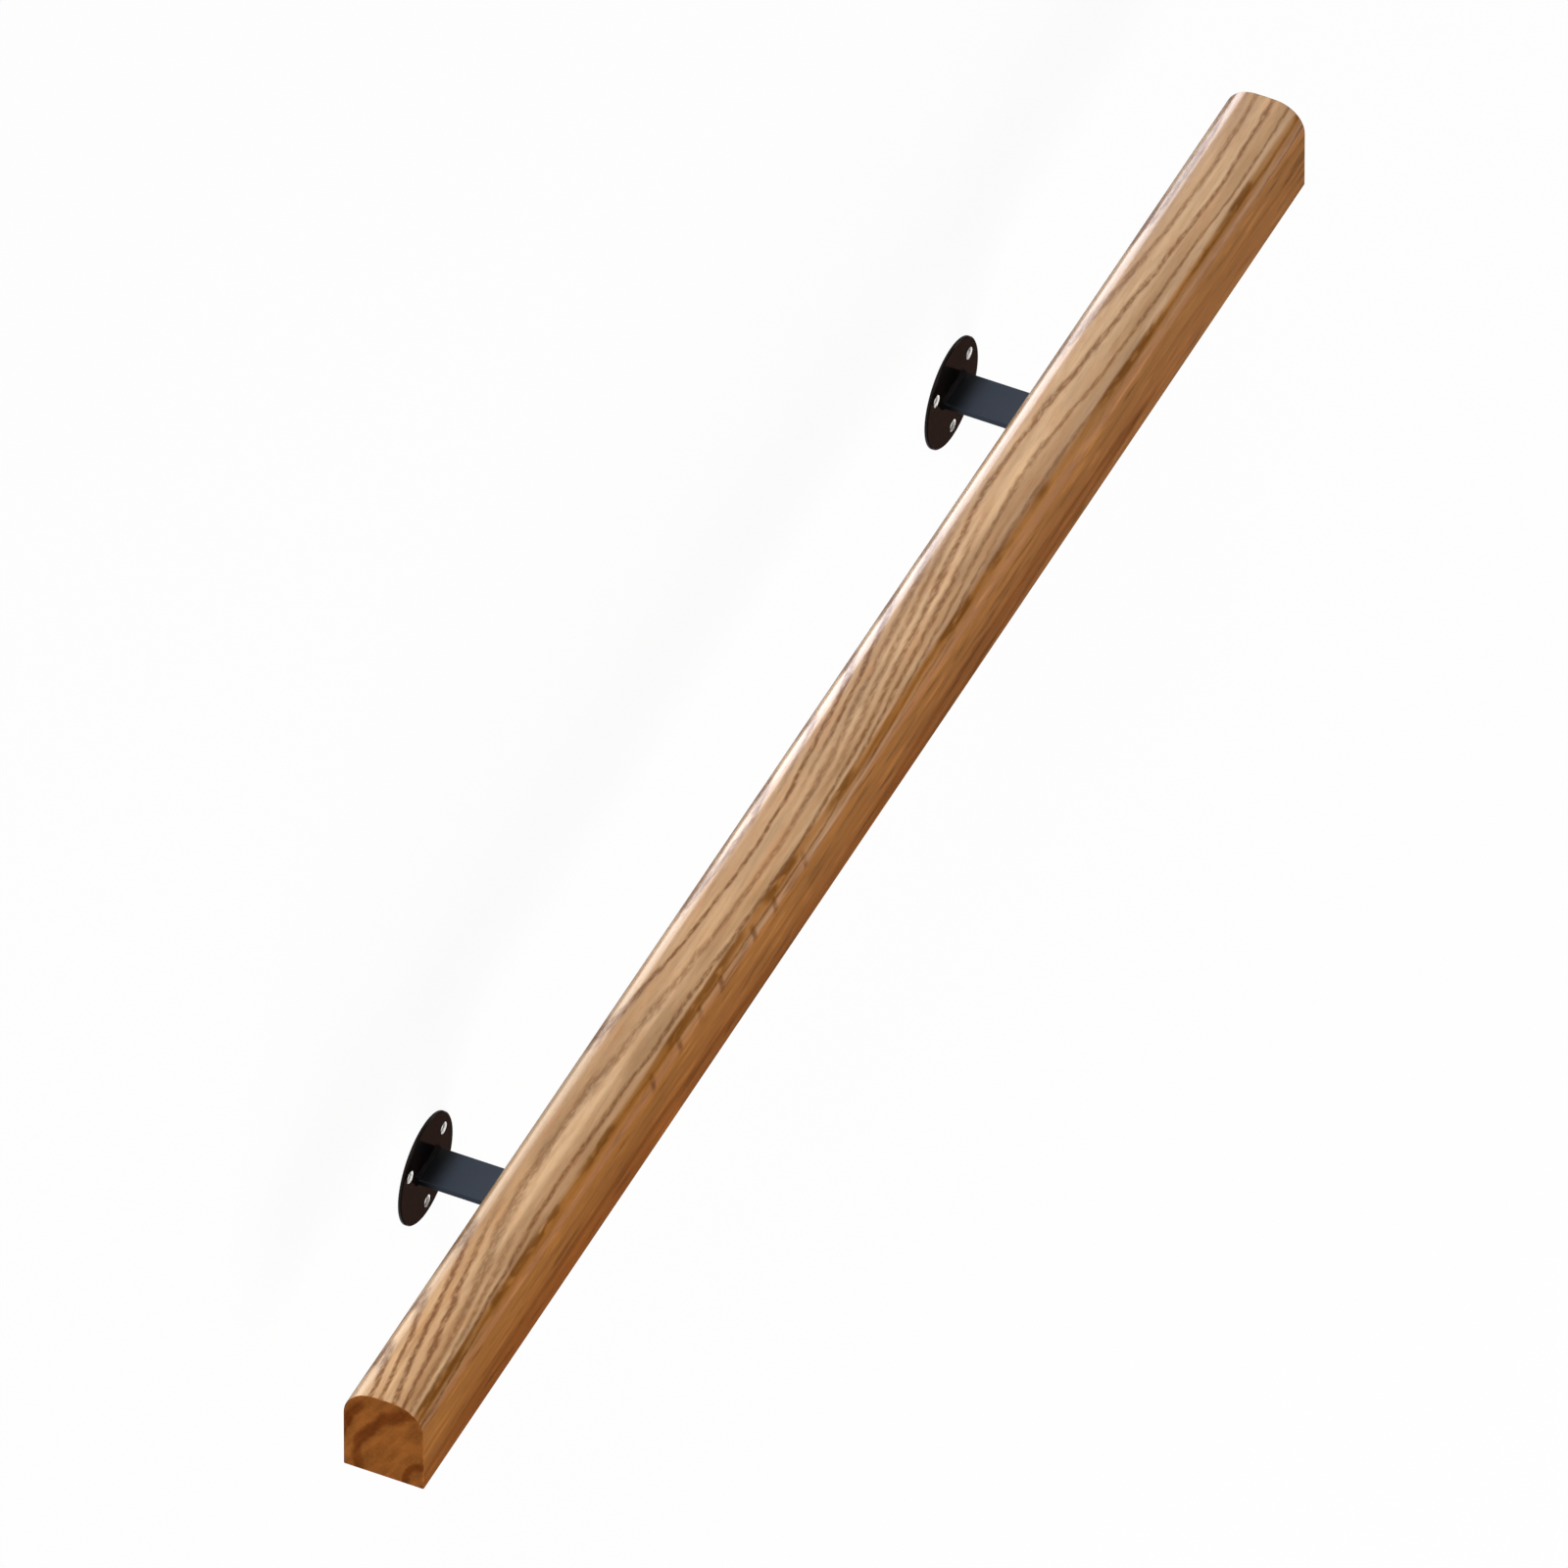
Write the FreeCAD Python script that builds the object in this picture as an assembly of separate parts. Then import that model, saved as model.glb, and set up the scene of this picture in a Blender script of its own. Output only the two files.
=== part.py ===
import FreeCAD, Part
import math
import os

# A straight timber stair handrail on two steel wall brackets, in millimetres.
# It stands on the backs of its wall plates, so the wall plane is Z = 0.
# +X runs up the stair along the rail, +Y is up the wall, +Z points away from the wall.

# Rail
RAIL_LENGTH = 1200.0
RAIL_WIDTH = 51.0
RAIL_HEIGHT = 61.0
CROWN_HALF_WIDTH = 6.0       # from the middle line to the centre of each rounded shoulder
CROWN_RADIUS = 150.0         # the top is slightly domed between the shoulders
LOWER_EDGE_RADIUS = 0.8      # eased long edges of the flat underside
RAIL_END_EASING = 0.8        # eased edges around both end cuts

# Where the brackets hold the rail
WALL_TO_RAIL = 64.5          # from the wall to the rail's near side
BRACKET_INSET = 243.0        # from each end of the rail to the middle of its bracket

# Round wall plate
PLATE_DIAMETER = 70.0
PLATE_THICKNESS = 2.0
PLATE_RIM_CHAMFER = 0.6
WALL_HOLE_DIAMETER = 7.0
WALL_HOLE_MARGIN = 5.5       # metal left between a hole and the plate's rim
WALL_HOLE_COUNT = 3
WALL_HOLE_CHAMFER = 0.4
PLATE_DROP = 5.0             # middle of the plate below the rail's underside

# Flat bar that carries the rail
BAR_WIDTH = 30.0
BAR_THICKNESS = 4.0
BAR_END_SHORT = 5.0          # the bar stops this far inside the rail's outer side
BAR_CORNER_RADIUS = 5.0
BAR_EDGE_RADIUS = 0.5
WELD_LEG = 2.0

# Wood screws that hold the rail down on the bar
SCREW_EDGE_DISTANCE = 12.0   # from each side of the rail to the screw's axis
SCREW_DIAMETER = 4.5
SCREW_LENGTH = 30.0          # under the head
SCREW_POINT_LENGTH = 6.0
SCREW_TIP_DIAMETER = 0.6
SCREW_HEAD_DIAMETER = 9.0
SCREW_HEAD_HEIGHT = 2.8
SCREW_HEAD_RIM = 0.9         # upright rim of the head, under its slope
SCREW_HEAD_FLAT = 6.4        # width of the flat top of the head
SCREW_SLOT_WIDTH = 1.2
SCREW_SLOT_LENGTH = 4.6
SCREW_SLOT_DEPTH = 1.5
BAR_HOLE_CLEARANCE = 0.25    # around a screw in the bar
PILOT_CLEARANCE = 0.05       # around a screw in the rail

# Places that follow from the sizes above
RAIL_BOTTOM_Y = (PLATE_DIAMETER / 2 + PLATE_DROP - RAIL_HEIGHT) / 2
PLATE_CENTRE_Y = RAIL_BOTTOM_Y - PLATE_DROP
BAR_UNDERSIDE_Y = RAIL_BOTTOM_Y - BAR_THICKNESS
RAIL_MIDDLE_Z = WALL_TO_RAIL + RAIL_WIDTH / 2
BAR_END_Z = WALL_TO_RAIL + RAIL_WIDTH - BAR_END_SHORT
BRACKET_X = {"lower": BRACKET_INSET - RAIL_LENGTH / 2, "upper": RAIL_LENGTH / 2 - BRACKET_INSET}
SCREW_Z = {
    "inner": WALL_TO_RAIL + SCREW_EDGE_DISTANCE,
    "outer": WALL_TO_RAIL + RAIL_WIDTH - SCREW_EDGE_DISTANCE,
}

X_AXIS = FreeCAD.Vector(1, 0, 0)
Y_AXIS = FreeCAD.Vector(0, 1, 0)
Z_AXIS = FreeCAD.Vector(0, 0, 1)


def arc(first, middle, last):
    """Round stretch of an outline through three points."""
    return Part.Arc(first, middle, last).toShape()


def rail_outline():
    """Closed outline of the rail's cross-section, at its lower end."""
    shoulder = RAIL_WIDTH / 2 - CROWN_HALF_WIDTH
    crown_centre = RAIL_HEIGHT - CROWN_RADIUS
    lean = math.asin(CROWN_HALF_WIDTH / (CROWN_RADIUS - shoulder))
    shoulder_height = crown_centre + (CROWN_RADIUS - shoulder) * math.cos(lean)
    half = RAIL_WIDTH / 2
    ease = LOWER_EDGE_RADIUS

    def at(across, height):
        return FreeCAD.Vector(-RAIL_LENGTH / 2, RAIL_BOTTOM_Y + height, RAIL_MIDDLE_Z + across)

    def on_arc(across, height, radius, angle):
        return at(across + radius * math.sin(angle), height + radius * math.cos(angle))

    def corner(side):
        """Eased lower edge, from the underside to the upright side."""
        centre = side * (half - ease)
        return [on_arc(centre, ease, ease, side * angle) for angle in (math.pi, 0.75 * math.pi, math.pi / 2)]

    def shoulder_points(side):
        """Shoulder arc, from the upright side to the crown."""
        angles = (math.pi / 2, (math.pi / 2 + lean) / 2, lean)
        return [on_arc(side * CROWN_HALF_WIDTH, shoulder_height, shoulder, side * angle) for angle in angles]

    outer_corner, inner_corner = corner(1), corner(-1)
    outer_shoulder, inner_shoulder = shoulder_points(1), shoulder_points(-1)
    edges = [
        Part.makeLine(inner_corner[0], outer_corner[0]),
        arc(*outer_corner),
        Part.makeLine(outer_corner[2], outer_shoulder[0]),
        arc(*outer_shoulder),
        arc(outer_shoulder[2], at(0, RAIL_HEIGHT), inner_shoulder[2]),
        arc(*reversed(inner_shoulder)),
        Part.makeLine(inner_shoulder[0], inner_corner[2]),
        arc(*reversed(inner_corner)),
    ]
    return Part.Wire(edges)


def screw_profile(clearance):
    """Half outline of a screw's shank and point along Y, from the head's underside."""
    radius = SCREW_DIAMETER / 2 + clearance
    tip = SCREW_TIP_DIAMETER / 2 + clearance
    length = SCREW_LENGTH + clearance
    points = [
        FreeCAD.Vector(0, 0, 0),
        FreeCAD.Vector(radius, 0, 0),
        FreeCAD.Vector(radius, length - SCREW_POINT_LENGTH, 0),
        FreeCAD.Vector(tip, length, 0),
        FreeCAD.Vector(0, length, 0),
        FreeCAD.Vector(0, 0, 0),
    ]
    return Part.Face(Part.makePolygon(points))


def revolved(face):
    """Solid of revolution about the Y axis through the origin."""
    return face.revolve(FreeCAD.Vector(0, 0, 0), Y_AXIS, 360)


def make_screw():
    """Pan-headed wood screw, head's underside at the origin and point towards +Y."""
    origin = FreeCAD.Vector(0, 0, 0)
    head_outline = [
        origin,
        FreeCAD.Vector(SCREW_HEAD_DIAMETER / 2, 0, 0),
        FreeCAD.Vector(SCREW_HEAD_DIAMETER / 2, -SCREW_HEAD_RIM, 0),
        FreeCAD.Vector(SCREW_HEAD_FLAT / 2, -SCREW_HEAD_HEIGHT, 0),
        FreeCAD.Vector(0, -SCREW_HEAD_HEIGHT, 0),
        origin,
    ]
    head = revolved(Part.Face(Part.makePolygon(head_outline)))
    screw = head.fuse(revolved(screw_profile(0)))
    slot_foot = FreeCAD.Vector(-SCREW_SLOT_LENGTH / 2, -SCREW_HEAD_HEIGHT, -SCREW_SLOT_WIDTH / 2)
    slot = Part.makeBox(SCREW_SLOT_LENGTH, SCREW_SLOT_DEPTH, SCREW_SLOT_WIDTH, slot_foot)
    cross_slot = slot.copy()
    cross_slot.rotate(origin, Y_AXIS, 90)
    return screw.cut(slot.fuse(cross_slot)).removeSplitter()


def screw_places():
    """Name and head seat of every rail screw."""
    for bracket, x in BRACKET_X.items():
        for side, z in SCREW_Z.items():
            yield f"rail_screw_{bracket}_{side}", FreeCAD.Vector(x, BAR_UNDERSIDE_Y, z)


def make_rail():
    """Timber rail with eased ends and pilot holes for the screws."""
    rail = Part.Face(rail_outline()).extrude(X_AXIS * RAIL_LENGTH)
    end_edges = []
    for face in rail.Faces:
        if abs(face.normalAt(0, 0).dot(X_AXIS)) > 0.99:
            end_edges.extend(face.Edges)
    rail = rail.makeFillet(RAIL_END_EASING, end_edges)
    for _, seat in screw_places():
        pilot = revolved(screw_profile(PILOT_CLEARANCE))
        pilot.translate(seat)
        rail = rail.cut(pilot)
    return rail


def make_plate(x):
    """Round plate with a broken front rim and fixing holes, one of them straight below the middle."""
    centre = FreeCAD.Vector(x, PLATE_CENTRE_Y, 0)
    plate = Part.makeCylinder(PLATE_DIAMETER / 2, PLATE_THICKNESS, centre)
    front_rim = [edge for edge in plate.Edges if edge.BoundBox.ZMin > PLATE_THICKNESS / 2]
    plate = plate.makeChamfer(PLATE_RIM_CHAMFER, front_rim)
    hole_radius = WALL_HOLE_DIAMETER / 2
    mouth_radius = hole_radius + WALL_HOLE_CHAMFER
    circle_radius = PLATE_DIAMETER / 2 - WALL_HOLE_MARGIN - hole_radius
    for index in range(WALL_HOLE_COUNT):
        angle = -math.pi / 2 + index * 2 * math.pi / WALL_HOLE_COUNT
        place = centre + FreeCAD.Vector(math.cos(angle), math.sin(angle), 0) * circle_radius
        mouth_foot = place + Z_AXIS * (PLATE_THICKNESS - WALL_HOLE_CHAMFER)
        hole = Part.makeCylinder(hole_radius, PLATE_THICKNESS, place)
        mouth = Part.makeCone(hole_radius, mouth_radius, WALL_HOLE_CHAMFER, mouth_foot)
        plate = plate.cut(hole.fuse(mouth))
    return plate


def weld_bead(x, surface_y, outward):
    """Three-cornered bead along one wide face of the bar, where it meets the plate."""
    corner = FreeCAD.Vector(x - BAR_WIDTH / 2, surface_y, PLATE_THICKNESS)
    points = [corner, corner + Y_AXIS * outward * WELD_LEG, corner + Z_AXIS * WELD_LEG, corner]
    return Part.Face(Part.makePolygon(points)).extrude(X_AXIS * BAR_WIDTH)


def make_arm(x):
    """Flat bar, lying flat under the rail, with rounded outer corners, screw holes and its weld."""
    foot = FreeCAD.Vector(x - BAR_WIDTH / 2, BAR_UNDERSIDE_Y, PLATE_THICKNESS)
    bar = Part.makeBox(BAR_WIDTH, BAR_THICKNESS, BAR_END_Z - PLATE_THICKNESS, foot)
    long_edges = [edge for edge in bar.Edges if edge.BoundBox.ZLength > BAR_WIDTH]
    outer_corners = [
        edge for edge in bar.Edges
        if edge.BoundBox.ZMin > RAIL_MIDDLE_Z and edge.BoundBox.YLength > BAR_THICKNESS / 2
    ]
    arm = bar.makeFillet(BAR_EDGE_RADIUS, long_edges).common(bar.makeFillet(BAR_CORNER_RADIUS, outer_corners))
    for z in SCREW_Z.values():
        hole_foot = FreeCAD.Vector(x, BAR_UNDERSIDE_Y, z)
        hole = Part.makeCylinder(SCREW_DIAMETER / 2 + BAR_HOLE_CLEARANCE, BAR_THICKNESS, hole_foot, Y_AXIS)
        arm = arm.cut(hole)
    upper_bead = weld_bead(x, RAIL_BOTTOM_Y, 1)
    lower_bead = weld_bead(x, BAR_UNDERSIDE_Y, -1)
    return arm.fuse([upper_bead, lower_bead]).removeSplitter()


def make_parts():
    """Every piece of the object by node name."""
    parts = {"handrail": make_rail()}
    for bracket, x in BRACKET_X.items():
        parts[f"wall_plate_{bracket}"] = make_plate(x)
        parts[f"support_arm_{bracket}"] = make_arm(x)
    for name, seat in screw_places():
        screw = make_screw()
        screw.translate(seat)
        parts[name] = screw
    return parts


os.makedirs("parts", exist_ok=True)
for node, shape in make_parts().items():
    shape.exportStep(f"parts/{node}.step")
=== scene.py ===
import math

import bpy
from mathutils import Matrix, Vector


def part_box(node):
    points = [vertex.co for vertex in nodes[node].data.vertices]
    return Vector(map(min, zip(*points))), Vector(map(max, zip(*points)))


# A lacquered timber handrail on two black wall brackets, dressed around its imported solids.
# Metres. +X runs up the rail, +Y up the wall, +Z away from the wall, which is the floor here.

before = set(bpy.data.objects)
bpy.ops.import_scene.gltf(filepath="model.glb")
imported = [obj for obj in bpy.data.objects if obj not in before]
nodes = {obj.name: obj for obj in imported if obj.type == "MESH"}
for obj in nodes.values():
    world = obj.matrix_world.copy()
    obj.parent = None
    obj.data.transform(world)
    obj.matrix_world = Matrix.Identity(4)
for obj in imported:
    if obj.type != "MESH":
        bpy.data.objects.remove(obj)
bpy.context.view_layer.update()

MM = 0.001
RAIL_LOW, RAIL_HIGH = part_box("handrail")
RAIL_LENGTH = RAIL_HIGH.x - RAIL_LOW.x

# The photograph is close to a parallel view, so a very long lens stands far away.
PHOTO_PIXELS = 1600
RAIL_AXIS_ANGLE = math.radians(55.913)     # the rail's direction in the picture
ACROSS_ANGLE = math.radians(-18.2)         # the wall-to-room direction in the picture
PIXELS_PER_METRE = 1760.3
CORNER_PIXEL = (354.4, 1487.1)             # lower wall-side corner of the near end
LENS_MM = 1650.0
SENSOR_MM = 36.0


class Graph:
    """Short names for the shader nodes of one material, lamp or world."""

    def __init__(self, owner):
        owner.use_nodes = True
        self.owner = owner
        self.tree = owner.node_tree
        self.nodes = self.tree.nodes

    def new(self, kind):
        return self.nodes.new("ShaderNode" + kind)

    def put(self, socket, value):
        if isinstance(value, bpy.types.NodeSocket):
            self.tree.links.new(value, socket)
        else:
            socket.default_value = value

    def math(self, operation, first, second=0.0, third=0.0):
        node = self.new("Math")
        node.operation = operation
        for socket, value in zip(node.inputs, (first, second, third)):
            self.put(socket, value)
        return node.outputs[0]

    def times(self, *values):
        """Product of several values."""
        product = values[0]
        for value in values[1:]:
            product = self.math("MULTIPLY", product, value)
        return product

    def around(self, noise, spread):
        """Noise spread evenly to both sides of nothing."""
        return self.math("MULTIPLY_ADD", noise, spread, -spread / 2)

    def smooth(self, value, low, high, to_low=0.0, to_high=1.0):
        """Eased step from one value to another between two limits."""
        node = self.new("MapRange")
        node.interpolation_type = "SMOOTHSTEP"
        for socket, entry in zip(node.inputs, (value, low, high, to_low, to_high)):
            self.put(socket, entry)
        return node.outputs[0]

    def band(self, value, middle, core, half_width):
        """One within the core around a middle value, easing to nothing at the half width."""
        away = self.math("ABSOLUTE", self.math("SUBTRACT", value, middle))
        return self.smooth(away, core, half_width, 1.0, 0.0)

    def combine(self, x, y, z):
        node = self.new("CombineXYZ")
        for socket, value in zip(node.inputs, (x, y, z)):
            self.put(socket, value)
        return node.outputs[0]

    def split(self, vector):
        node = self.new("SeparateXYZ")
        self.put(node.inputs[0], vector)
        return node.outputs

    def noise(self, point, waves, detail=2.0, roughness=0.5):
        """Noise with its own number of waves per metre along each axis."""
        scaled = self.new("VectorMath")
        scaled.operation = "MULTIPLY"
        self.put(scaled.inputs[0], point)
        scaled.inputs[1].default_value = waves
        node = self.new("TexNoise")
        self.put(node.inputs["Vector"], scaled.outputs[0])
        node.inputs["Scale"].default_value = 1.0
        node.inputs["Detail"].default_value = detail
        node.inputs["Roughness"].default_value = roughness
        return node.outputs["Fac"]

    def chance(self, number):
        """A value of its own for each whole number."""
        node = self.new("TexWhiteNoise")
        node.noise_dimensions = "1D"
        self.put(node.inputs["W"], self.math("FLOOR", number))
        return node.outputs["Value"]

    def mix(self, amount, first, second, blend="MIX"):
        node = self.new("Mix")
        node.data_type = "RGBA"
        node.blend_type = blend
        self.put(node.inputs["Factor"], amount)
        self.put(node.inputs[6], first)
        self.put(node.inputs[7], second)
        return node.outputs[2]

    def shaded(self, colour, amount):
        """Colour made lighter or darker."""
        return self.mix(1.0, colour, self.combine(amount, amount, amount), "MULTIPLY")

    def bump(self, height, distance, strength):
        node = self.new("Bump")
        node.inputs["Strength"].default_value = strength
        node.inputs["Distance"].default_value = distance
        self.put(node.inputs["Height"], height)
        return node.outputs["Normal"]

    def place(self):
        """Point on the object."""
        return self.new("TexCoord").outputs["Object"]


def new_material(name):
    return Graph(bpy.data.materials.new(name))


def rgb(red, green, blue):
    return (red, green, blue, 1.0)


# Growth rings of the log that the rail was sawn from.
PITH_ACROSS = 56.0 * MM          # heart of the log, from the rail's wall side
PITH_HEIGHT = -1.5 * MM          # and from its underside
PITH_RISE = 0.0143               # the heart climbs along the rail
DRIFT_LENGTH = 635.0 * MM        # the grain swings from side to side over this length
DRIFT_TURN = 2 * math.pi / DRIFT_LENGTH
DRIFT_PHASE = 2.695              # where in its swing the lower end lies
DRIFT_ACROSS = 6.0 * MM
DRIFT_HEIGHT = 2.7 * MM
SLOW_WANDER = 5.0 * MM           # unevenness of the rings
QUICK_WANDER = 2.0 * MM
SIDE_RINGS = ((17.0, 4.0, 0.7), (33.0, 3.0, 0.3), (56.5, 6.0, 0.3))   # radius, half width, strength

# Narrow outer rings, each with a thin dark line.
RING_SPACING = 6.6 * MM
FIRST_NARROW_RING = 53.0 * MM    # at the lower end, and closer to the heart up the rail
NARROW_FROM = (FIRST_NARROW_RING - 2.0 * MM, FIRST_NARROW_RING + 1.0 * MM)
CLOSE_PHASE = -0.5               # where along the swing the rings lie close
CLOSE_SWING = (0.0, 0.9)
LINE_STRENGTH = (0.36, 0.62)     # spread and least
LINE_REACH = (0.12, 0.15)        # half width as a share of the spacing, spread and least
LINE_CORE = 0.03
LINE_RAGGED = 0.16
LINE_BROKEN = (0.34, 0.56, 0.62, 1.0)
RING_TONE = (0.15, 0.85, 0.15, 0.85)
REACH_DRAW, TONE_DRAW = 57.0, 31.5   # added to a ring's number to draw its line's width and its own tone

# Sawn ends.
END_RINGS = ((20.0, 3.4, 0.75), (49.0, 4.6, 0.72), (60.5, 3.6, 0.95))
END_CORE = 0.3                   # share of each ring that is fully dark
END_LEAN = -0.228                # on the ends the rings stand steeper
END_SLANT = (0.55, 0.83)         # way of the fine streaks there, across and up
END_WANDER = 10.0 * MM
END_PATCH = (0.32, 0.60, 0.20, 1.0)
END_FACING = (0.20, 0.55)
SPECK_SHADE = (0.45, 0.78)
CLOUD_SHADE = 0.60
HAIR_SHADE = 0.90

WOOD_PALE_AND_PAINTED_LIGHT = rgb(0.66, 0.430, 0.235)
WOOD_LIGHT = rgb(0.455, 0.240, 0.092)
WOOD_WARM = rgb(0.452, 0.177, 0.041)
WOOD_DEEP = rgb(0.325, 0.098, 0.016)
WOOD_LINE = rgb(0.165, 0.054, 0.006)
WOOD_HEART = rgb(0.24, 0.074, 0.011)
WOOD_GREY = rgb(0.46, 0.29, 0.165)
PAINTED_SHADE_TAN = rgb(0.355, 0.185, 0.072)
WOOD_BAND = rgb(0.36, 0.132, 0.016)
END_LIGHT = rgb(0.285, 0.094, 0.019)
END_DARK = rgb(0.124, 0.025, 0.003)

# Figure of the wood, in waves per metre along the rail, up, and out from the wall.
SLOW_WAVES = (6.0, 26.0, 26.0)
QUICK_WAVES = (30.0, 120.0, 120.0)
RAGGED_WAVES = (110.0, 420.0, 420.0)
BROKEN_WAVES = (200.0, 800.0, 800.0)
FIBRE_WAVES = (14.0, 560.0, 560.0)
PORE_WAVES = (120.0, 2600.0, 2600.0)
STREAK_WAVES = (12.0, 150.0, 150.0)
BLOTCH_WAVES = (5.0, 40.0, 40.0)
FLECK_WAVES = (22.0, 230.0, 230.0)
MOTTLE_WAVES = (34.0, 190.0, 190.0)
WISP_WAVES = (90.0, 300.0, 300.0)
PATCH_WAVES = (17.0, 24.0, 24.0)
SMEAR_WAVES = (60.0, 280.0, 280.0)
END_WARP_WAVES = (1.0, 50.0, 50.0)
END_PATCH_WAVES = (1.0, 45.0, 45.0)
END_CLOUD_WAVES = (1.0, 110.0, 110.0)
END_SPECK_WAVES = (1.0, 600.0, 600.0)
END_HAIR_WAVES = (1.0, 40.0, 260.0)

# The room-side shoulder is told by its distance, round the curve, from the line where it leans half over.
SHOULDER_ACROSS = 45.3 * MM      # that line, from the rail's wall side
SHOULDER_HEIGHT = 55.2 * MM      # and from its underside
SHOULDER_FACING = (80.0 * MM, 86.0 * MM)
TICK_SPACING = 33.0 * MM         # short dark flecks across the shoulder
TICK_START = 305.0 * MM
TICK_STOP = 515.0 * MM
TICK_FADE = 8.0 * MM
TICK_SLANT = 0.25
TICK_SPOT = (0.5, 0.25)          # place of each fleck in its own space, spread and least
TICK_WIDTH = (0.8 * MM, 4.2 * MM)
TICK_BAND = (6.5 * MM, 2.5 * MM, 6.5 * MM)
TICK_WISP = (0.30, 0.60, 0.35, 1.0)
SMEAR_BAND = (0.8 * MM, 1.2 * MM, 3.6 * MM)   # dark smears along the shoulder
SMEAR_PATCH = (0.44, 0.54)
SMEAR_GRAIN = (0.32, 0.52)
MARK_STRENGTH = 0.76

# Stripes along the rail: middle, core and half width round the shoulder, and strength.
# painted sheen: a paler stripe along the crown
PAINTED_SHEEN_STRIPE = (-16.5 * MM, 1.5 * MM, 5.0 * MM, 0.30)
# painted shade: a darker stripe where the crown's sheen dips
PAINTED_SHADE_STRIPE = (-9.0 * MM, 2.0 * MM, 5.0 * MM, 0.55)
DARK_STRIPE = (1.5 * MM, 1.0 * MM, 3.6 * MM, 0.55)

# Where the colours of the wood change, as two limits and the shares at them.
WARM_FROM = (-3.0 * MM, 2.0 * MM)
DEEP_WITHIN = (4.0 * MM, 40.0 * MM, 1.0, 0.0)
PALE_STREAK = (0.3, 0.65)
GREY_ALONG = (0.0, RAIL_LENGTH, 0.0, 0.60)
GREY_ROUND = (0.0, 8.0 * MM, 1.0, 0.25)
# painted light: paler wood along the wall side's upper edge, beside the bright line that the lacquer mirrors
PAINTED_EDGE_LIGHT = (4.0 * MM, 13.0 * MM, 0.85, 0.0)
PAINTED_EDGE_LIGHT_HEIGHT = (30.0 * MM, 42.0 * MM)
MOTTLE = (0.50, 0.68, 0.0, 0.30)
MOTTLE_ROUND = (-6.0 * MM, 0.0, 1.0, 0.0)

# Lighter and darker wood.
FIBRE_SHADE = (0.20, 0.90)       # spread and least
STREAK_SHADE = 0.45
BLOTCH_SHADE = 0.30
PORE_SHADE = 0.14
DARK_FLECKS = (0.56, 0.70, 0.0, -0.30)
LIGHT_FLECKS = (0.30, 0.44, 0.26, 0.0)
FLECKS_ROUND = (0.0, 9.0 * MM, 0.35, 1.0)
DIM_TOP_ALONG = (0.25, 0.06, 0.22)
DIM_TOP_ROUND = (-3.0 * MM, 2.0 * MM, 0.08, 0.0)
DIM_EDGE_ALONG = (0.20, 0.42, 0.09, 0.0)
DIM_EDGE_ROUND = (5.0 * MM, 5.0 * MM, 10.0 * MM)

# Open grain, and the lacquer over it.
PORE_LIMITS = (0.58, 0.68)
PORE_DEPTH = 0.5
FIBRE_DEPTH = 0.35
GRAIN_DULLS = -0.40
END_DULLS = -0.98
WOOD_ROUGHNESS = 0.42
END_ROUGHNESS = 0.45             # more on the sawn ends
WOOD_RELIEF = (0.06 * MM, 0.6)   # depth and strength
LACQUER_RELIEF = (0.04 * MM, 0.3)


class RailPlace:
    """Point on the rail, its distances from lower end, underside and wall side, and round the shoulder."""

    def __init__(self, g):
        self.point = g.place()
        x, y, z = g.split(self.point)
        self.along = g.math("SUBTRACT", x, RAIL_LOW.x)
        self.height = g.math("SUBTRACT", y, RAIL_LOW.y)
        self.across = g.math("SUBTRACT", z, RAIL_LOW.z)
        lean = g.math("SUBTRACT", self.across, self.height)
        self.turn = g.times(g.math("SUBTRACT", lean, SHOULDER_ACROSS - SHOULDER_HEIGHT), math.sqrt(0.5))


def ring_radius(g, at):
    """Distance from the log's heart, which wanders along the rail, and the same freed of its climb."""
    swing = g.math("SINE", g.math("MULTIPLY_ADD", at.along, DRIFT_TURN, DRIFT_PHASE))
    heart_across = g.math("MULTIPLY_ADD", swing, DRIFT_ACROSS, PITH_ACROSS)
    rise = g.math("MULTIPLY_ADD", at.along, PITH_RISE, PITH_HEIGHT)
    heart_height = g.math("MULTIPLY_ADD", swing, -DRIFT_HEIGHT, rise)
    off_across = g.math("SUBTRACT", at.across, heart_across)
    off_height = g.math("SUBTRACT", at.height, heart_height)
    square = g.math("ADD", g.times(off_across, off_across), g.times(off_height, off_height))
    slow = g.noise(at.point, SLOW_WAVES, detail=1.0)
    quick = g.noise(at.point, QUICK_WAVES)
    radius = g.math("ADD", g.math("SQRT", square), g.around(slow, SLOW_WANDER))
    radius = g.math("ADD", radius, g.around(quick, QUICK_WANDER))
    return radius, g.math("MULTIPLY_ADD", at.along, PITH_RISE, radius)


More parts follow.
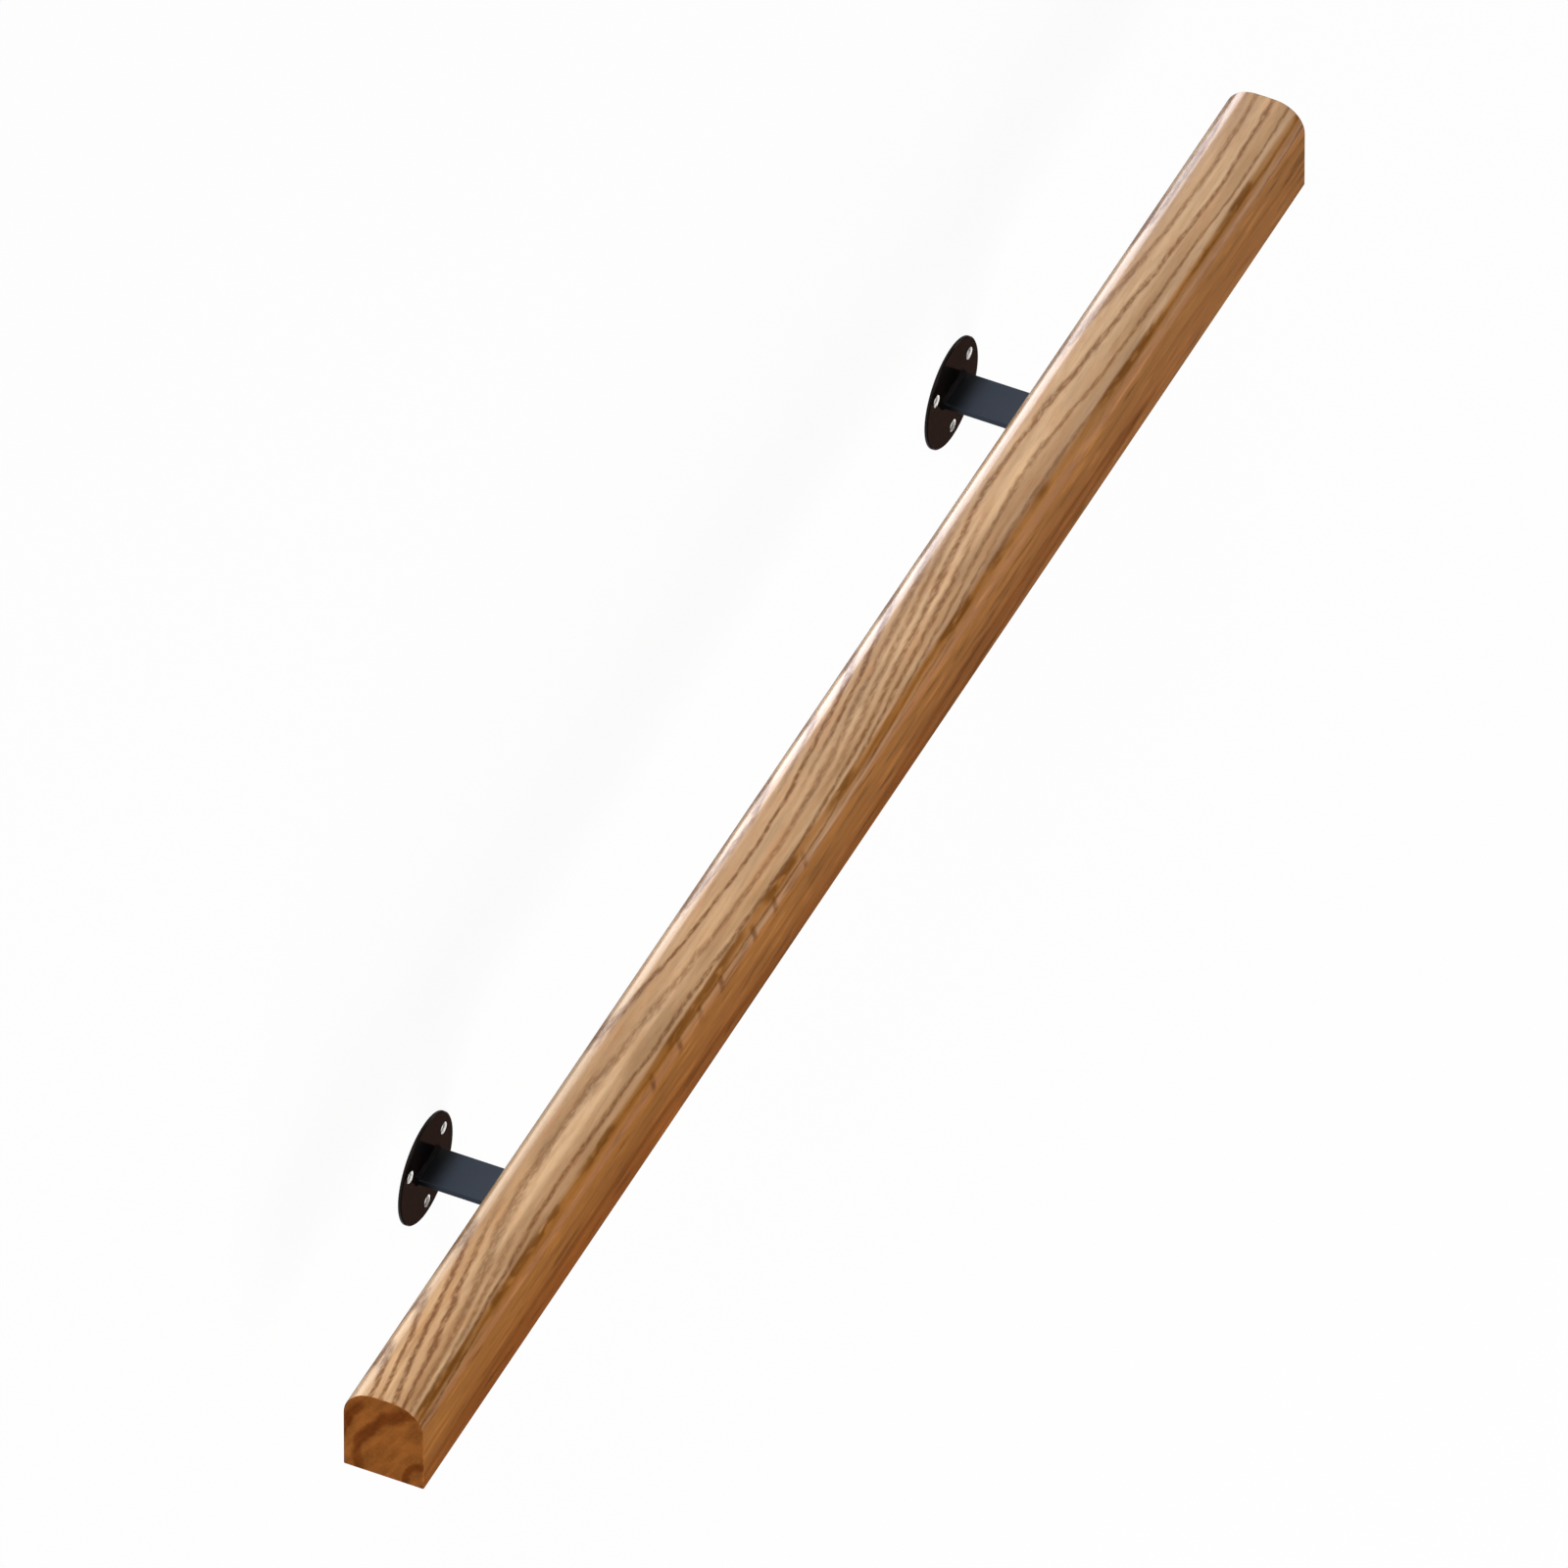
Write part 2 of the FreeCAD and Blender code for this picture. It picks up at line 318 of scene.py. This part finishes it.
def narrow_rings(g, at, radius, level):
    """Dark line of each outer ring, a second one between where rings lie close, and each ring's paleness."""
    count = g.math("DIVIDE", g.math("SUBTRACT", radius, FIRST_NARROW_RING), RING_SPACING)
    ragged = g.around(g.noise(at.point, RAGGED_WAVES), LINE_RAGGED)
    swing = g.math("COSINE", g.math("MULTIPLY_ADD", at.along, DRIFT_TURN, CLOSE_PHASE))
    close = g.smooth(swing, *CLOSE_SWING)
    lines = 0.0
    for shift, share in ((0.0, 1.0), (0.5, close)):
        step = g.math("ADD", count, shift)
        strength = g.math("MULTIPLY_ADD", g.chance(step), *LINE_STRENGTH)
        reach = g.math("MULTIPLY_ADD", g.chance(g.math("ADD", step, REACH_DRAW)), *LINE_REACH)
        phase = g.math("ADD", g.math("FRACT", step), ragged)
        line = g.band(phase, 0.5, LINE_CORE, reach)
        lines = g.math("MAXIMUM", lines, g.times(line, strength, share))
    broken = g.smooth(g.noise(at.point, BROKEN_WAVES, detail=1.0), *LINE_BROKEN)
    outer = g.smooth(level, *NARROW_FROM)
    tone = g.smooth(g.chance(g.math("ADD", count, TONE_DRAW)), *RING_TONE)
    return g.times(lines, broken, outer), g.times(tone, outer)


def broad_rings(g, level, rings, core=0.0):
    """Broad rings from radius, half width and strength, in full over the core's share of the width."""
    dark = 0.0
    for radius, half_width, strength in rings:
        ring = g.band(level, radius * MM, core * half_width * MM, half_width * MM)
        dark = g.math("MAXIMUM", dark, g.times(ring, strength))
    return dark


def shoulder_marks(g, at):
    """Short dark flecks across the room-side shoulder and dark smears along it."""
    facing = g.smooth(g.math("ADD", at.across, at.height), *SHOULDER_FACING)
    cell = g.math("DIVIDE", at.along, TICK_SPACING)
    slanted = g.math("MULTIPLY_ADD", at.turn, TICK_SLANT / TICK_SPACING, g.math("FRACT", cell))
    spot = g.math("MULTIPLY_ADD", g.chance(cell), *TICK_SPOT)
    away = g.times(g.math("ABSOLUTE", g.math("SUBTRACT", slanted, spot)), TICK_SPACING)
    fleck = g.smooth(away, *TICK_WIDTH, 1.0, 0.0)
    middle = (TICK_START + TICK_STOP) / 2
    half_row = middle - TICK_START
    row = g.band(at.along, middle, half_row, half_row + TICK_FADE)
    wisp = g.smooth(g.noise(at.point, WISP_WAVES), *TICK_WISP)
    ticks = g.times(fleck, row, wisp, g.band(at.turn, *TICK_BAND))
    patch = g.smooth(g.noise(at.point, PATCH_WAVES, detail=1.0), *SMEAR_PATCH)
    grain = g.smooth(g.noise(at.point, SMEAR_WAVES), *SMEAR_GRAIN)
    smears = g.times(patch, grain, g.band(at.turn, *SMEAR_BAND))
    return g.times(g.math("MAXIMUM", ticks, smears), facing)


def end_mask(g):
    """One on the sawn ends, nothing on the long faces."""
    facing = g.new("VectorTransform")
    facing.vector_type = "NORMAL"
    facing.convert_from = "WORLD"
    facing.convert_to = "OBJECT"
    g.put(facing.inputs[0], g.new("NewGeometry").outputs["True Normal"])
    return g.smooth(g.math("ABSOLUTE", g.split(facing.outputs[0])[0]), *END_FACING)


def end_grain(g, at, radius):
    """Sawn end: broad uneven rings, fine streaks that run with them, and pores."""
    warp = g.noise(at.point, END_WARP_WAVES, detail=3.0)
    level = g.math("ADD", radius, g.around(warp, END_WANDER))
    level = g.math("MULTIPLY_ADD", at.height, END_LEAN, level)
    patch = g.smooth(g.noise(at.point, END_PATCH_WAVES, detail=1.0), *END_PATCH)
    dark = g.times(broad_rings(g, level, END_RINGS, END_CORE), patch)
    cloud = g.noise(at.point, END_CLOUD_WAVES, detail=3.0)
    speck = g.noise(at.point, END_SPECK_WAVES, detail=3.0)
    with_ring = g.math("ADD", g.times(at.across, END_SLANT[0]), g.times(at.height, END_SLANT[1]))
    over_ring = g.math("SUBTRACT", g.times(at.across, END_SLANT[1]), g.times(at.height, END_SLANT[0]))
    hair = g.noise(g.combine(0.0, with_ring, over_ring), END_HAIR_WAVES, detail=1.0)
    shade = g.math("MULTIPLY_ADD", speck, *SPECK_SHADE)
    shade = g.math("ADD", shade, g.around(cloud, CLOUD_SHADE))
    shade = g.math("ADD", shade, g.around(hair, HAIR_SHADE))
    return g.shaded(g.mix(dark, END_LIGHT, END_DARK), shade)


def stripe(g, at, shape):
    """Soft stripe along the rail."""
    middle, core, half_width, strength = shape
    return g.times(g.band(at.turn, middle, core, half_width), strength)


def wood_colour(g, at, level, streak, line, pale, marks):
    """Pale top, warm side that deepens towards the heart, and the dark rings and marks over both, with
    painted sheen, shade and light in stripes along the top and the wall-side edge.
    """
    tint = g.mix(g.smooth(at.turn, *WARM_FROM), WOOD_LIGHT, WOOD_WARM)
    tint = g.mix(g.smooth(level, *DEEP_WITHIN), tint, WOOD_DEEP)
    tint = g.mix(g.times(pale, g.smooth(streak, *PALE_STREAK)), tint, WOOD_PALE_AND_PAINTED_LIGHT)
    grey = g.times(g.smooth(at.along, *GREY_ALONG), g.smooth(at.turn, *GREY_ROUND))
    tint = g.mix(grey, tint, WOOD_GREY)
    # painted light along the wall side's upper edge
    painted_edge_light = g.times(g.smooth(at.across, *PAINTED_EDGE_LIGHT), g.smooth(at.height, *PAINTED_EDGE_LIGHT_HEIGHT))
    tint = g.mix(painted_edge_light, tint, WOOD_PALE_AND_PAINTED_LIGHT)
    mottle = g.smooth(g.noise(at.point, MOTTLE_WAVES), *MOTTLE)
    tint = g.mix(g.times(mottle, g.smooth(at.turn, *MOTTLE_ROUND)), tint, WOOD_WARM)
    # painted shade: darker stripe where the sheen dips
    tint = g.mix(stripe(g, at, PAINTED_SHADE_STRIPE), tint, PAINTED_SHADE_TAN)
    # painted sheen: paler stripe along the crown
    tint = g.mix(stripe(g, at, PAINTED_SHEEN_STRIPE), tint, WOOD_PALE_AND_PAINTED_LIGHT)
    tint = g.mix(broad_rings(g, level, SIDE_RINGS), tint, WOOD_HEART)
    tint = g.mix(line, tint, WOOD_LINE)
    tint = g.mix(stripe(g, at, DARK_STRIPE), tint, WOOD_BAND)
    return g.mix(g.times(marks, MARK_STRENGTH), tint, WOOD_LINE)


def wood_shade(g, at, fibre, streak, pore):
    """How light or dark the fibres, streaks, blotches, flecks and pores are."""
    blotch = g.noise(at.point, BLOTCH_WAVES)
    dash = g.noise(at.point, FLECK_WAVES)
    flecks = g.math("ADD", g.smooth(dash, *DARK_FLECKS), g.smooth(dash, *LIGHT_FLECKS))
    shade = g.math("MULTIPLY_ADD", fibre, *FIBRE_SHADE)
    shade = g.math("ADD", shade, g.around(streak, STREAK_SHADE))
    shade = g.math("ADD", shade, g.around(blotch, BLOTCH_SHADE))
    shade = g.math("ADD", shade, g.times(flecks, g.smooth(at.turn, *FLECKS_ROUND)))
    shade = g.math("SUBTRACT", shade, g.times(pore, PORE_SHADE))
    dim_top = g.times(g.band(at.along, *DIM_TOP_ALONG), g.smooth(at.turn, *DIM_TOP_ROUND))
    dim_edge = g.times(g.smooth(at.along, *DIM_EDGE_ALONG), g.band(at.turn, *DIM_EDGE_ROUND))
    return g.math("SUBTRACT", shade, g.math("ADD", dim_top, dim_edge))


def wood_material():
    """Lacquered timber whose rings run through the whole rail."""
    g = new_material("lacquered_wood")
    at = RailPlace(g)
    radius, level = ring_radius(g, at)
    line, pale = narrow_rings(g, at, radius, level)
    marks = shoulder_marks(g, at)
    end = end_mask(g)
    fibre = g.noise(at.point, FIBRE_WAVES, detail=3.0, roughness=0.6)
    pore = g.smooth(g.noise(at.point, PORE_WAVES, detail=1.0), *PORE_LIMITS)
    streak = g.noise(at.point, STREAK_WAVES)
    colour = wood_colour(g, at, level, streak, line, pale, marks)
    long_faces = g.shaded(colour, wood_shade(g, at, fibre, streak, pore))

    open_grain = g.math("MAXIMUM", g.math("MAXIMUM", line, marks), g.times(pore, PORE_DEPTH))
    open_grain = g.times(open_grain, g.math("SUBTRACT", 1.0, end))
    relief = g.math("SUBTRACT", g.times(fibre, FIBRE_DEPTH), open_grain)
    grain_gloss = g.math("MULTIPLY_ADD", open_grain, GRAIN_DULLS, 1.0)
    end_gloss = g.math("MULTIPLY_ADD", end, END_DULLS, 1.0)
    shader = g.nodes["Principled BSDF"]
    g.put(shader.inputs["Base Color"], g.mix(end, long_faces, end_grain(g, at, radius)))
    g.put(shader.inputs["Roughness"], g.math("MULTIPLY_ADD", end, END_ROUGHNESS, WOOD_ROUGHNESS))
    g.put(shader.inputs["Normal"], g.bump(relief, *WOOD_RELIEF))
    g.put(shader.inputs["Coat Weight"], g.times(grain_gloss, end_gloss))
    g.put(shader.inputs["Coat Normal"], g.bump(g.times(line, -1.0), *LACQUER_RELIEF))
    shader.inputs["IOR"].default_value = 1.15
    shader.inputs["Coat Roughness"].default_value = 0.17
    shader.inputs["Coat IOR"].default_value = 1.50
    return g.owner


# Painted brackets and zinc-plated screws.
HOLE_COUNT = 3
HOLE_CIRCLE_RADIUS = 26.0 * MM
HOLE_START_ANGLE = -90.0
BARE_RADIUS = 3.9 * MM           # the hole's wall and its bevel
BARE_STEEL = rgb(0.90, 0.89, 0.87)
PLATE_DARK, PLATE_LIGHT = rgb(0.0030, 0.0018, 0.0014), rgb(0.0060, 0.0034, 0.0026)
# painted reflection: the arms have the plates' black paint, and their slate blue stands in for pale light
# mirrored in it
ARM_PAINTED_SHEEN_DARK, ARM_PAINTED_SHEEN_LIGHT = rgb(0.021, 0.029, 0.044), rgb(0.028, 0.037, 0.056)
PAINTED_SHADE_AT_PLATE = (8.0 * MM, 22.0 * MM, 0.04, 1.0)   # painted shade: the arm's colour darkens to near black within a few centimetres of the plate, weld included
PEEL_WAVES = (700.0, 700.0, 700.0)
PEEL_RELIEF = (0.02 * MM, 0.3)
CLOUD_WAVES = (60.0, 60.0, 60.0)
GLOSS_SPREAD = 0.12
ZINC_DARK, ZINC_LIGHT = rgb(0.42, 0.42, 0.43), rgb(0.62, 0.61, 0.58)
SCUFF_WAVES = (1400.0, 1400.0, 1400.0)
SCUFF_ROUGHNESS = (0.2, 0.35)    # spread and least
SCUFF_RELIEF = (0.01 * MM, 0.3)


def hole_mask(g, point):
    """One inside the plates' bolt holes, where the steel is bare."""
    x, y, _ = g.split(point)
    inside = 0.0
    for plate in ("wall_plate_lower", "wall_plate_upper"):
        low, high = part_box(plate)
        middle = (low + high) / 2
        for step in range(HOLE_COUNT):
            angle = math.radians(HOLE_START_ANGLE + step * 360.0 / HOLE_COUNT)
            off_x = g.math("SUBTRACT", x, middle.x + HOLE_CIRCLE_RADIUS * math.cos(angle))
            off_y = g.math("SUBTRACT", y, middle.y + HOLE_CIRCLE_RADIUS * math.sin(angle))
            square = g.math("ADD", g.times(off_x, off_x), g.times(off_y, off_y))
            inside = g.math("MAXIMUM", inside, g.math("LESS_THAN", square, BARE_RADIUS ** 2))
    return inside


def paint_material(name, dark, light, roughness, index, holes=False, shade_at_plate=False):
    """Paint on steel, with a faint orange-peel skin and uneven gloss."""
    g = new_material(name)
    point = g.place()
    peel = g.noise(point, PEEL_WAVES, detail=1.0)
    cloud = g.noise(point, CLOUD_WAVES, detail=3.0)
    tint = g.mix(cloud, dark, light)
    if holes:
        tint = g.mix(hole_mask(g, point), tint, BARE_STEEL)
    # painted shade near the plate: the arm's colour darkens towards it
    if shade_at_plate:
        tint = g.shaded(tint, g.smooth(g.split(point)[2], *PAINTED_SHADE_AT_PLATE))
    uneven = g.math("MULTIPLY_ADD", cloud, GLOSS_SPREAD, roughness - GLOSS_SPREAD / 2)
    shader = g.nodes["Principled BSDF"]
    g.put(shader.inputs["Base Color"], tint)
    g.put(shader.inputs["Roughness"], uneven)
    g.put(shader.inputs["Normal"], g.bump(peel, *PEEL_RELIEF))
    shader.inputs["IOR"].default_value = index
    return g.owner


def screw_material():
    """Bright zinc plating with fine scuffs."""
    g = new_material("screw_steel")
    scuff = g.noise(g.place(), SCUFF_WAVES, detail=3.0)
    shader = g.nodes["Principled BSDF"]
    g.put(shader.inputs["Base Color"], g.mix(scuff, ZINC_DARK, ZINC_LIGHT))
    g.put(shader.inputs["Roughness"], g.math("MULTIPLY_ADD", scuff, *SCUFF_ROUGHNESS))
    g.put(shader.inputs["Normal"], g.bump(scuff, *SCUFF_RELIEF))
    shader.inputs["Metallic"].default_value = 0.5
    return g.owner


def dress():
    """Gives each solid the finish of its kind."""
    finishes = {
        "handrail": wood_material(),
        "wall_plate": paint_material("plate_paint", PLATE_DARK, PLATE_LIGHT,
                                     roughness=0.16, index=1.50, holes=True),
        "support_arm": paint_material("arm_paint", ARM_PAINTED_SHEEN_DARK, ARM_PAINTED_SHEEN_LIGHT,
                                      roughness=0.36, index=1.33, shade_at_plate=True),
        "rail_screw": screw_material(),
    }
    for name, node in nodes.items():
        for kind, finish in finishes.items():
            if name.startswith(kind):
                node.data.materials.clear()
                node.data.materials.append(finish)


def photo_axes():
    """The picture's right, up and towards-the-camera directions on the object."""
    along = Vector((math.cos(RAIL_AXIS_ANGLE), math.sin(RAIL_AXIS_ANGLE)))
    across = Vector((math.cos(ACROSS_ANGLE), math.sin(ACROSS_ANGLE)))
    ratio = -across.x * across.y / (along.x * along.y)
    across_length = math.sqrt(1 / (ratio * along.x ** 2 + across.x ** 2))
    along_length = math.sqrt(ratio) * across_length
    height_length = math.sqrt(1 - (along_length * along.y) ** 2 - (across_length * across.y) ** 2)
    right = Vector((along_length * along.x, 0.0, across_length * across.x))
    up = Vector((along_length * along.y, height_length, across_length * across.y))
    return right, up, right.cross(up)


def make_camera():
    """Camera at the photograph's angle and framing."""
    right, up, back = photo_axes()
    middle = PHOTO_PIXELS / 2
    centre = RAIL_LOW + right * ((middle - CORNER_PIXEL[0]) / PIXELS_PER_METRE)
    centre = centre + up * ((CORNER_PIXEL[1] - middle) / PIXELS_PER_METRE)
    rail_middle = (RAIL_LOW + RAIL_HIGH) / 2
    centre = centre + back * (rail_middle - centre).dot(back)
    distance = PHOTO_PIXELS / PIXELS_PER_METRE * LENS_MM / SENSOR_MM
    data = bpy.data.cameras.new("photo_camera")
    data.lens = LENS_MM
    data.sensor_width = SENSOR_MM
    data.clip_end = 3 * distance
    camera = bpy.data.objects.new("photo_camera", data)
    turn = Matrix((right, up, back)).transposed().to_4x4()
    camera.matrix_world = Matrix.Translation(centre + back * distance) @ turn
    bpy.context.scene.collection.objects.link(camera)
    bpy.context.scene.camera = camera


FLOOR_SIZE = 120.0
FLOOR_SHOWN = 0.92                # colour of the floor itself
FLOOR_WHITE = 0.60                # as it lights the object
FLOOR_PAINTED_SHADE = 0.14                # painted shade: the floor below the rail's top, darker in what the object mirrors and in the light it throws back
FLOOR_GLOW = 0.94                 # share of plain white in what the camera sees and the object mirrors of it
SHADE_REACH = 25.0 * MM


def make_floor():
    """White floor that stands for the wall, keeps the shadow, and has painted shade under the rail for the
    object's mirrors and bounce light.
    """
    bpy.ops.mesh.primitive_plane_add(size=FLOOR_SIZE)
    floor = bpy.context.object
    floor.name = "floor"
    g = new_material("floor_white")
    g.nodes.remove(g.nodes["Principled BSDF"])
    diffuse = g.new("BsdfDiffuse")
    height = g.split(g.place())[1]
    # painted shade: below the rail's top the floor is darker to everything but the camera
    white = g.smooth(height, RAIL_HIGH.y - SHADE_REACH, RAIL_HIGH.y, FLOOR_PAINTED_SHADE, FLOOR_WHITE)
    path = g.new("LightPath").outputs
    shown = g.math("MAXIMUM", white, g.times(path["Is Camera Ray"], FLOOR_SHOWN))
    g.put(diffuse.inputs["Color"], g.combine(shown, shown, shown))
    glow = g.new("Emission")
    glow.inputs["Strength"].default_value = 1.0
    direct = g.math("MAXIMUM", path["Is Camera Ray"], path["Is Transmission Ray"])
    mirrored = g.times(path["Is Glossy Ray"], white, 1.0 / FLOOR_WHITE)
    blend = g.new("MixShader")
    g.put(blend.inputs[0], g.times(g.math("MAXIMUM", direct, mirrored), FLOOR_GLOW))
    g.put(blend.inputs[1], diffuse.outputs[0])
    g.put(blend.inputs[2], glow.outputs[0])
    g.put(g.nodes["Material Output"].inputs["Surface"], blend.outputs[0])
    floor.data.materials.append(g.owner)


# Bright strip that the rail's wall-side shoulder mirrors.
STRIP_WIDTH = 56.0 * MM
STRIP_HEIGHT = 68.0 * MM          # above the rail's underside
STRIP_LEVEL = 4.0 * MM            # above the floor
STRIP_SHIFT = 90.0 * MM           # it reaches past the far end of the rail
STRIP_POWER = 1.16
STRIP_NEAR, STRIP_FAR = 0.40, 0.76   # its strength at the near and far ends, where the middle has one
STRIP_RISE = (-0.30, 0.10)        # between these places it grows to full strength
STRIP_FALL = (0.10, 0.45)         # and between these it fades again
STRIP_WARM, STRIP_COOL = rgb(1.0, 0.90, 0.76), rgb(0.92, 0.93, 1.0)


def softbox(name, direction, distance, width, height, power,
            colour=(1.0, 1.0, 1.0), mirrored=True, lights=None):
    """Rectangular lamp that faces the middle of the rail, and lights every piece or only the named kinds."""
    data = bpy.data.lights.new(name, "AREA")
    data.shape = "RECTANGLE"
    data.size = width
    data.size_y = height
    data.energy = power
    data.color = colour
    lamp = bpy.data.objects.new(name, data)
    lamp.location = Vector(direction).normalized() * distance
    lamp.rotation_euler = Vector(direction).to_track_quat("Z", "Y").to_euler()
    lamp.visible_camera = False
    lamp.visible_glossy = mirrored
    bpy.context.scene.collection.objects.link(lamp)
    if lights:
        lit = bpy.data.collections.new(name + "_lights")
        for piece, node in nodes.items():
            if piece.startswith(lights):
                lit.objects.link(node)
        lamp.light_linking.receiver_collection = lit
    return lamp


def edge_strip():
    """Narrow lamp along the wall that only shows as a soft bright line in the rail's lacquer."""
    lamp = softbox("edge_strip", direction=(0.0, 0.0, 1.0), distance=1.0, width=RAIL_LENGTH + STRIP_SHIFT,
                   height=STRIP_WIDTH, power=STRIP_POWER, lights="handrail")
    lamp.location = (STRIP_SHIFT / 2, RAIL_LOW.y + STRIP_HEIGHT, STRIP_LEVEL)
    lamp.rotation_euler = (math.pi, 0.0, 0.0)
    lamp.visible_diffuse = False
    g = Graph(lamp.data)
    x = g.split(g.new("NewGeometry").outputs["Position"])[0]
    rise = g.smooth(x, *STRIP_RISE, STRIP_NEAR, 1.0)
    fall = g.smooth(x, *STRIP_FALL, 1.0, STRIP_FAR)
    g.put(g.nodes["Emission"].inputs["Strength"], g.times(rise, fall))
    g.put(g.nodes["Emission"].inputs["Color"], g.mix(g.smooth(x, *STRIP_RISE), STRIP_WARM, STRIP_COOL))


def make_light():
    """Soft boxes above the rail, in front of it and at its far end, and weak ones that its gloss mirrors."""
    softbox("top_box", direction=(-0.35, 0.93, 0.13), distance=10.0, width=4.4, height=2.4, power=930.0)
    softbox("sheen_box", direction=(0.72, 0.60, 0.36), distance=9.0, width=6.6, height=6.6, power=100.0,
            lights="handrail")
    softbox("overhead_strip", direction=(0.65, -0.31, 0.69), distance=9.0, width=3.0, height=3.0, power=10.5,
            colour=(0.88, 0.84, 1.0))
    softbox("warm_card", direction=(0.65, -0.70, 0.31), distance=9.0, width=6.0, height=6.0, power=8.2,
            colour=(1.0, 0.46, 0.30), lights=("wall_plate", "support_arm"))
    softbox("front_box", direction=(-0.33, -0.78, 0.52), distance=10.0, width=8.8, height=7.2, power=1530.0,
            mirrored=False)
    softbox("end_box", direction=(1.0, 0.0, 0.06), distance=10.0, width=2.2, height=2.2, power=800.0,
            mirrored=False)
    edge_strip()


ROOM = rgb(0.022, 0.020, 0.019)
BACKDROP = rgb(1.0, 1.0, 1.0)
BACKDROP_TOP = (0.04, 0.06)       # sine of the angle above the horizon where the white backdrop ends


def make_world():
    """Dim room with a low white backdrop all round."""
    world = bpy.data.worlds.new("room")
    g = Graph(world)
    dim = g.nodes["Background"]
    dim.inputs["Color"].default_value = ROOM
    white = g.new("Background")
    white.inputs["Color"].default_value = BACKDROP
    rise = g.split(g.new("TexCoord").outputs["Generated"])[2]
    path = g.new("LightPath").outputs
    direct = g.math("MAXIMUM", path["Is Camera Ray"], path["Is Transmission Ray"])
    seen = g.math("MAXIMUM", direct, path["Is Glossy Ray"])
    blend = g.new("MixShader")
    g.put(blend.inputs[0], g.times(seen, g.smooth(rise, *BACKDROP_TOP, 1.0, 0.0)))
    g.put(blend.inputs[1], dim.outputs[0])
    g.put(blend.inputs[2], white.outputs[0])
    g.put(g.nodes["World Output"].inputs["Surface"], blend.outputs[0])
    bpy.context.scene.world = world


dress()
make_camera()
make_floor()
make_light()
make_world()
bpy.context.scene.view_settings.view_transform = "Standard"
